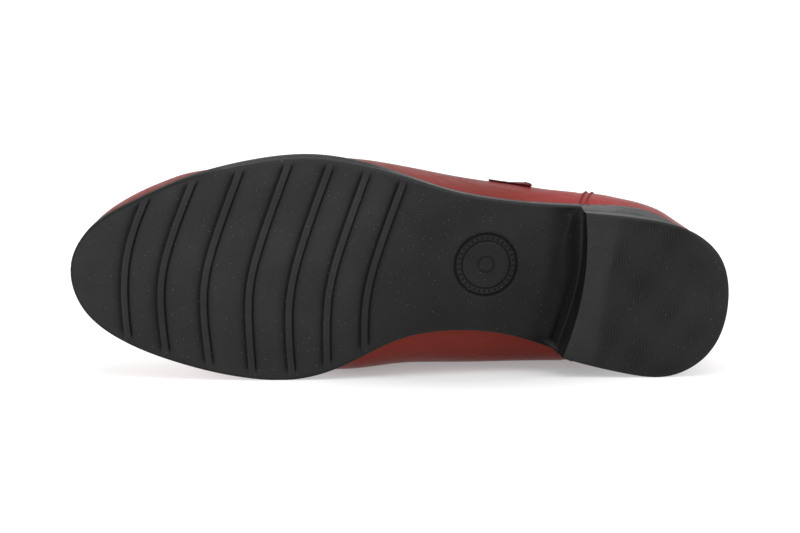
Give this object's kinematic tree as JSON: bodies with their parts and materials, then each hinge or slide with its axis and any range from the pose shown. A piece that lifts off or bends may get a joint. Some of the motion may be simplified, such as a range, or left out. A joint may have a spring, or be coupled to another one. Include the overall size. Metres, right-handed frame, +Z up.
{
  "type": "ballet flat",
  "caption": "Left low-cut leather flat with a round toe, an instep strap and a rubber unit sole with a low heel, lying on its inner side.",
  "frame": {"origin": "middle of the bounding box's footprint, on the floor that the shoe lies on", "axes": "-X towards the toe, +X towards the heel, -Y the side of the sole, +Y the side of the collar, +Z up from the floor to the shoe's outer side"},
  "size_m": [0.2519, 0.0866, 0.0868],
  "materials": {
    "sole_rubber": "matte",
    "red_leather": "satin",
    "sock_lining": "matte",
    "strap_leather": "satin"
  },
  "bodies": {
    "root": {"outsole": "sole_rubber", "heel_lift": "sole_rubber", "upper": "red_leather", "insole": "sock_lining", "strap": "strap_leather"}
  },
  "joints": []
}
